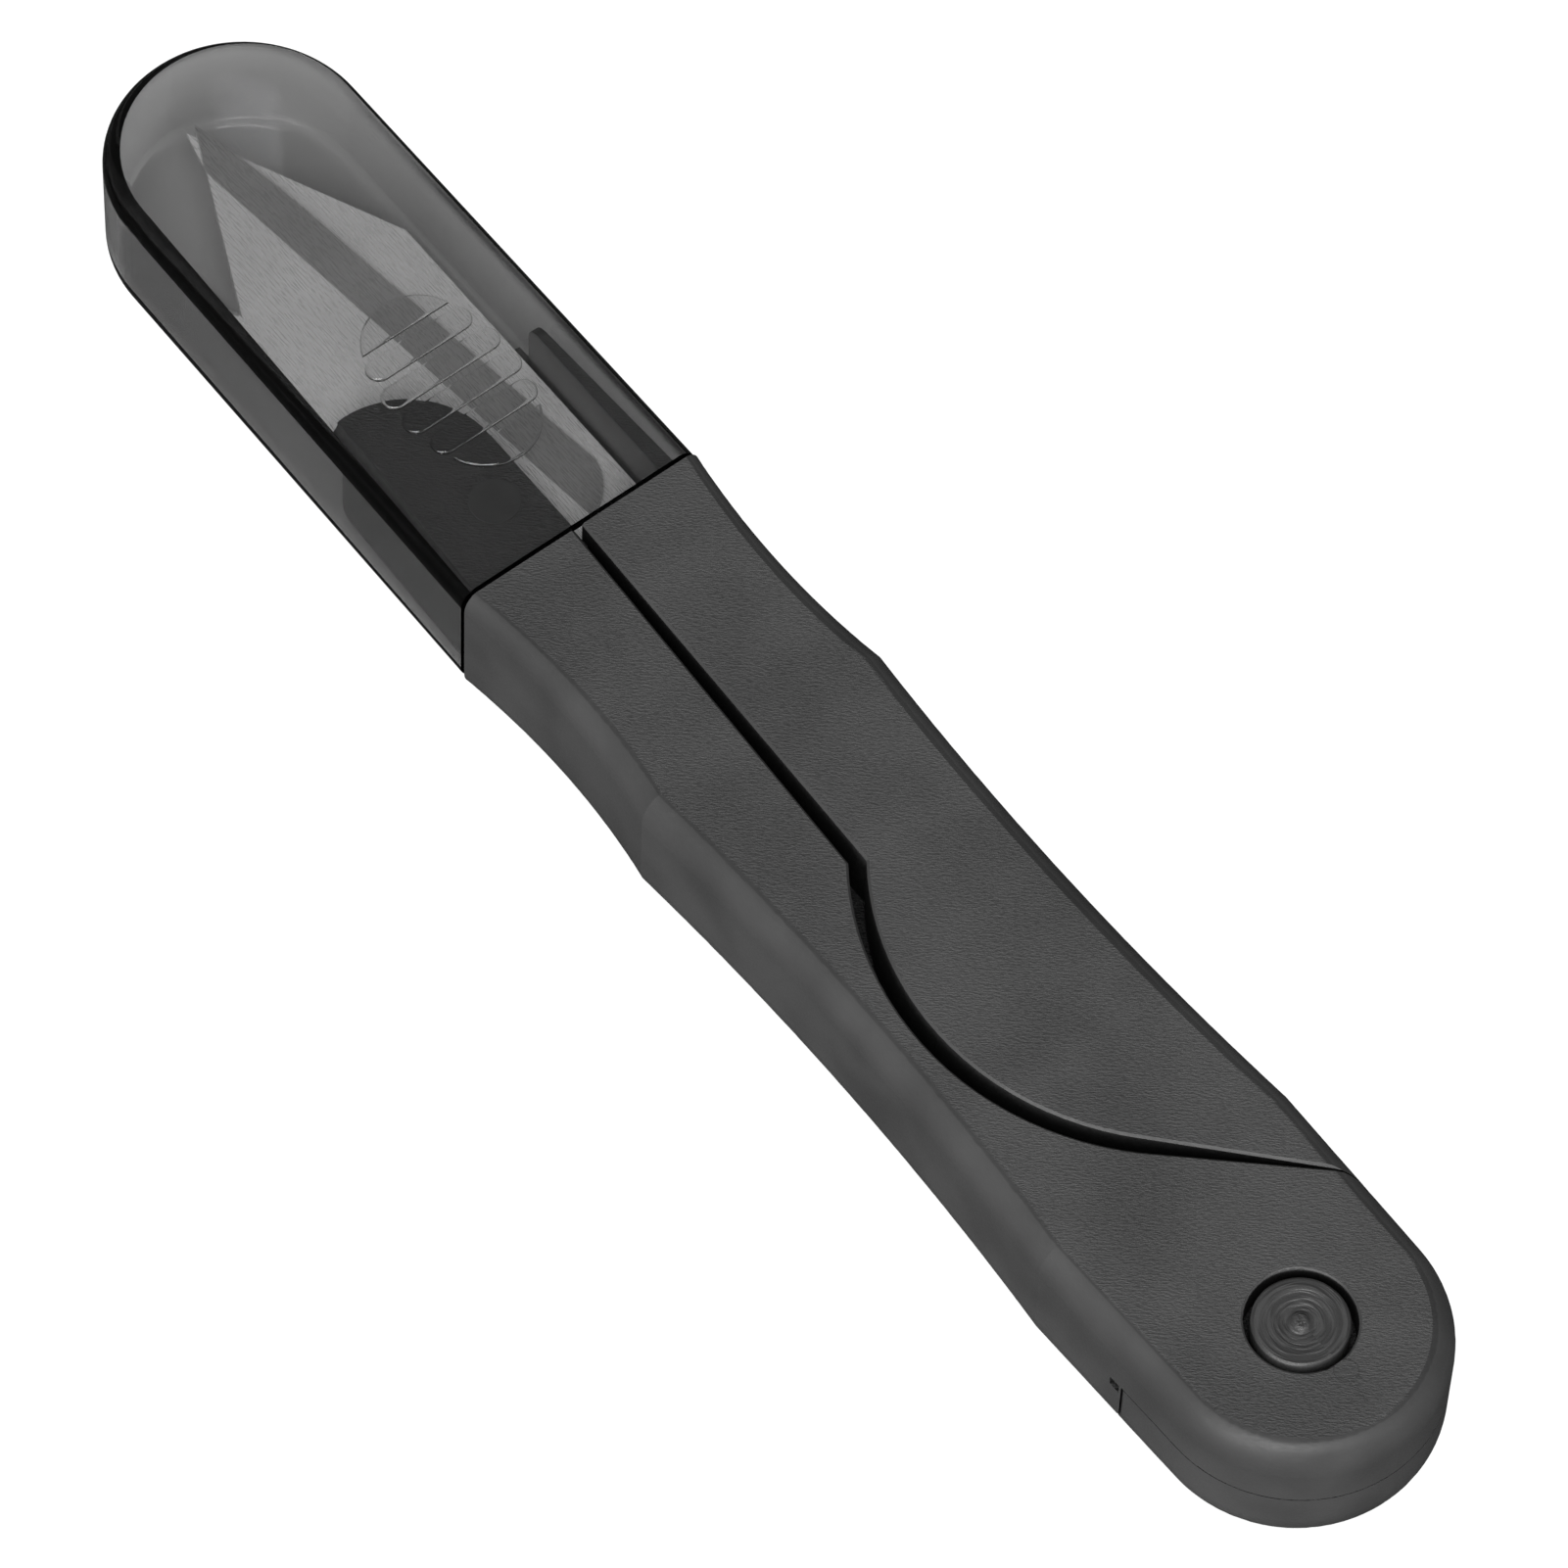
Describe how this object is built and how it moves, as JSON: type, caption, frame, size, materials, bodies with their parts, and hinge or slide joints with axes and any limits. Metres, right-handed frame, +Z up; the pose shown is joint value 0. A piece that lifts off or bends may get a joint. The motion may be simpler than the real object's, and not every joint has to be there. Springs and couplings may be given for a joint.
{
  "type": "capped craft snips",
  "caption": "Craft snips: overlapping pointed steel blades in S-split plastic handles on a sprung tail pivot, under a smoke-clear push-on cap.",
  "frame": {"origin": "under the middle of the capped object, on the surface that it lies on", "axes": "+X along the object from the tail pivot to the blade tips, +Y across it towards the left half, +Z up out of the broad face"},
  "size_m": [0.12, 0.0186, 0.01],
  "materials": {
    "handle_plastic": "fine leather grain on the flat faces, smoother satin sides",
    "blade_steel": "satin face with a darker ground bevel",
    "rivet_plastic": "satin",
    "pin_plastic": "satin, turned top",
    "spring_steel": "drawn wire",
    "smoke_plastic": "polished, smoke tinted, clear"
  },
  "bodies": {
    "left_half": {"left_handle": "handle_plastic", "left_blade": "blade_steel", "left_blade_rivet": "rivet_plastic"},
    "right_half": {"right_handle": "handle_plastic", "right_blade": "blade_steel", "right_blade_rivet": "rivet_plastic"},
    "pivot": {"pivot_pin": "pin_plastic", "pivot_button": "pin_plastic", "return_spring": "spring_steel"},
    "cap": {"cap": "smoke_plastic"}
  },
  "joints": [
    {"name": "handles_open", "type": "hinge", "parent": "left_half", "child": "right_half", "pos_m": [-0.0509, 0, 0.005], "axis": [0, 0, -1], "range_deg": [0, 7]},
    {"name": "pivot_turn", "type": "hinge", "parent": "left_half", "child": "pivot", "pos_m": [-0.0509, 0, 0.005], "axis": [0, 0, -1], "range_deg": [0, 3.5]},
    {"name": "cap_slide", "type": "slide", "parent": "pivot", "child": "cap", "axis": [1, 0, 0], "range_m": [0, 0.12]}
  ],
  "couplings": [
    {"joint": "pivot_turn", "follows": "handles_open", "ratio": 0.5},
    {"joint": "cap_slide", "follows": "handles_open", "m_per_rad": 0.982}
  ]
}
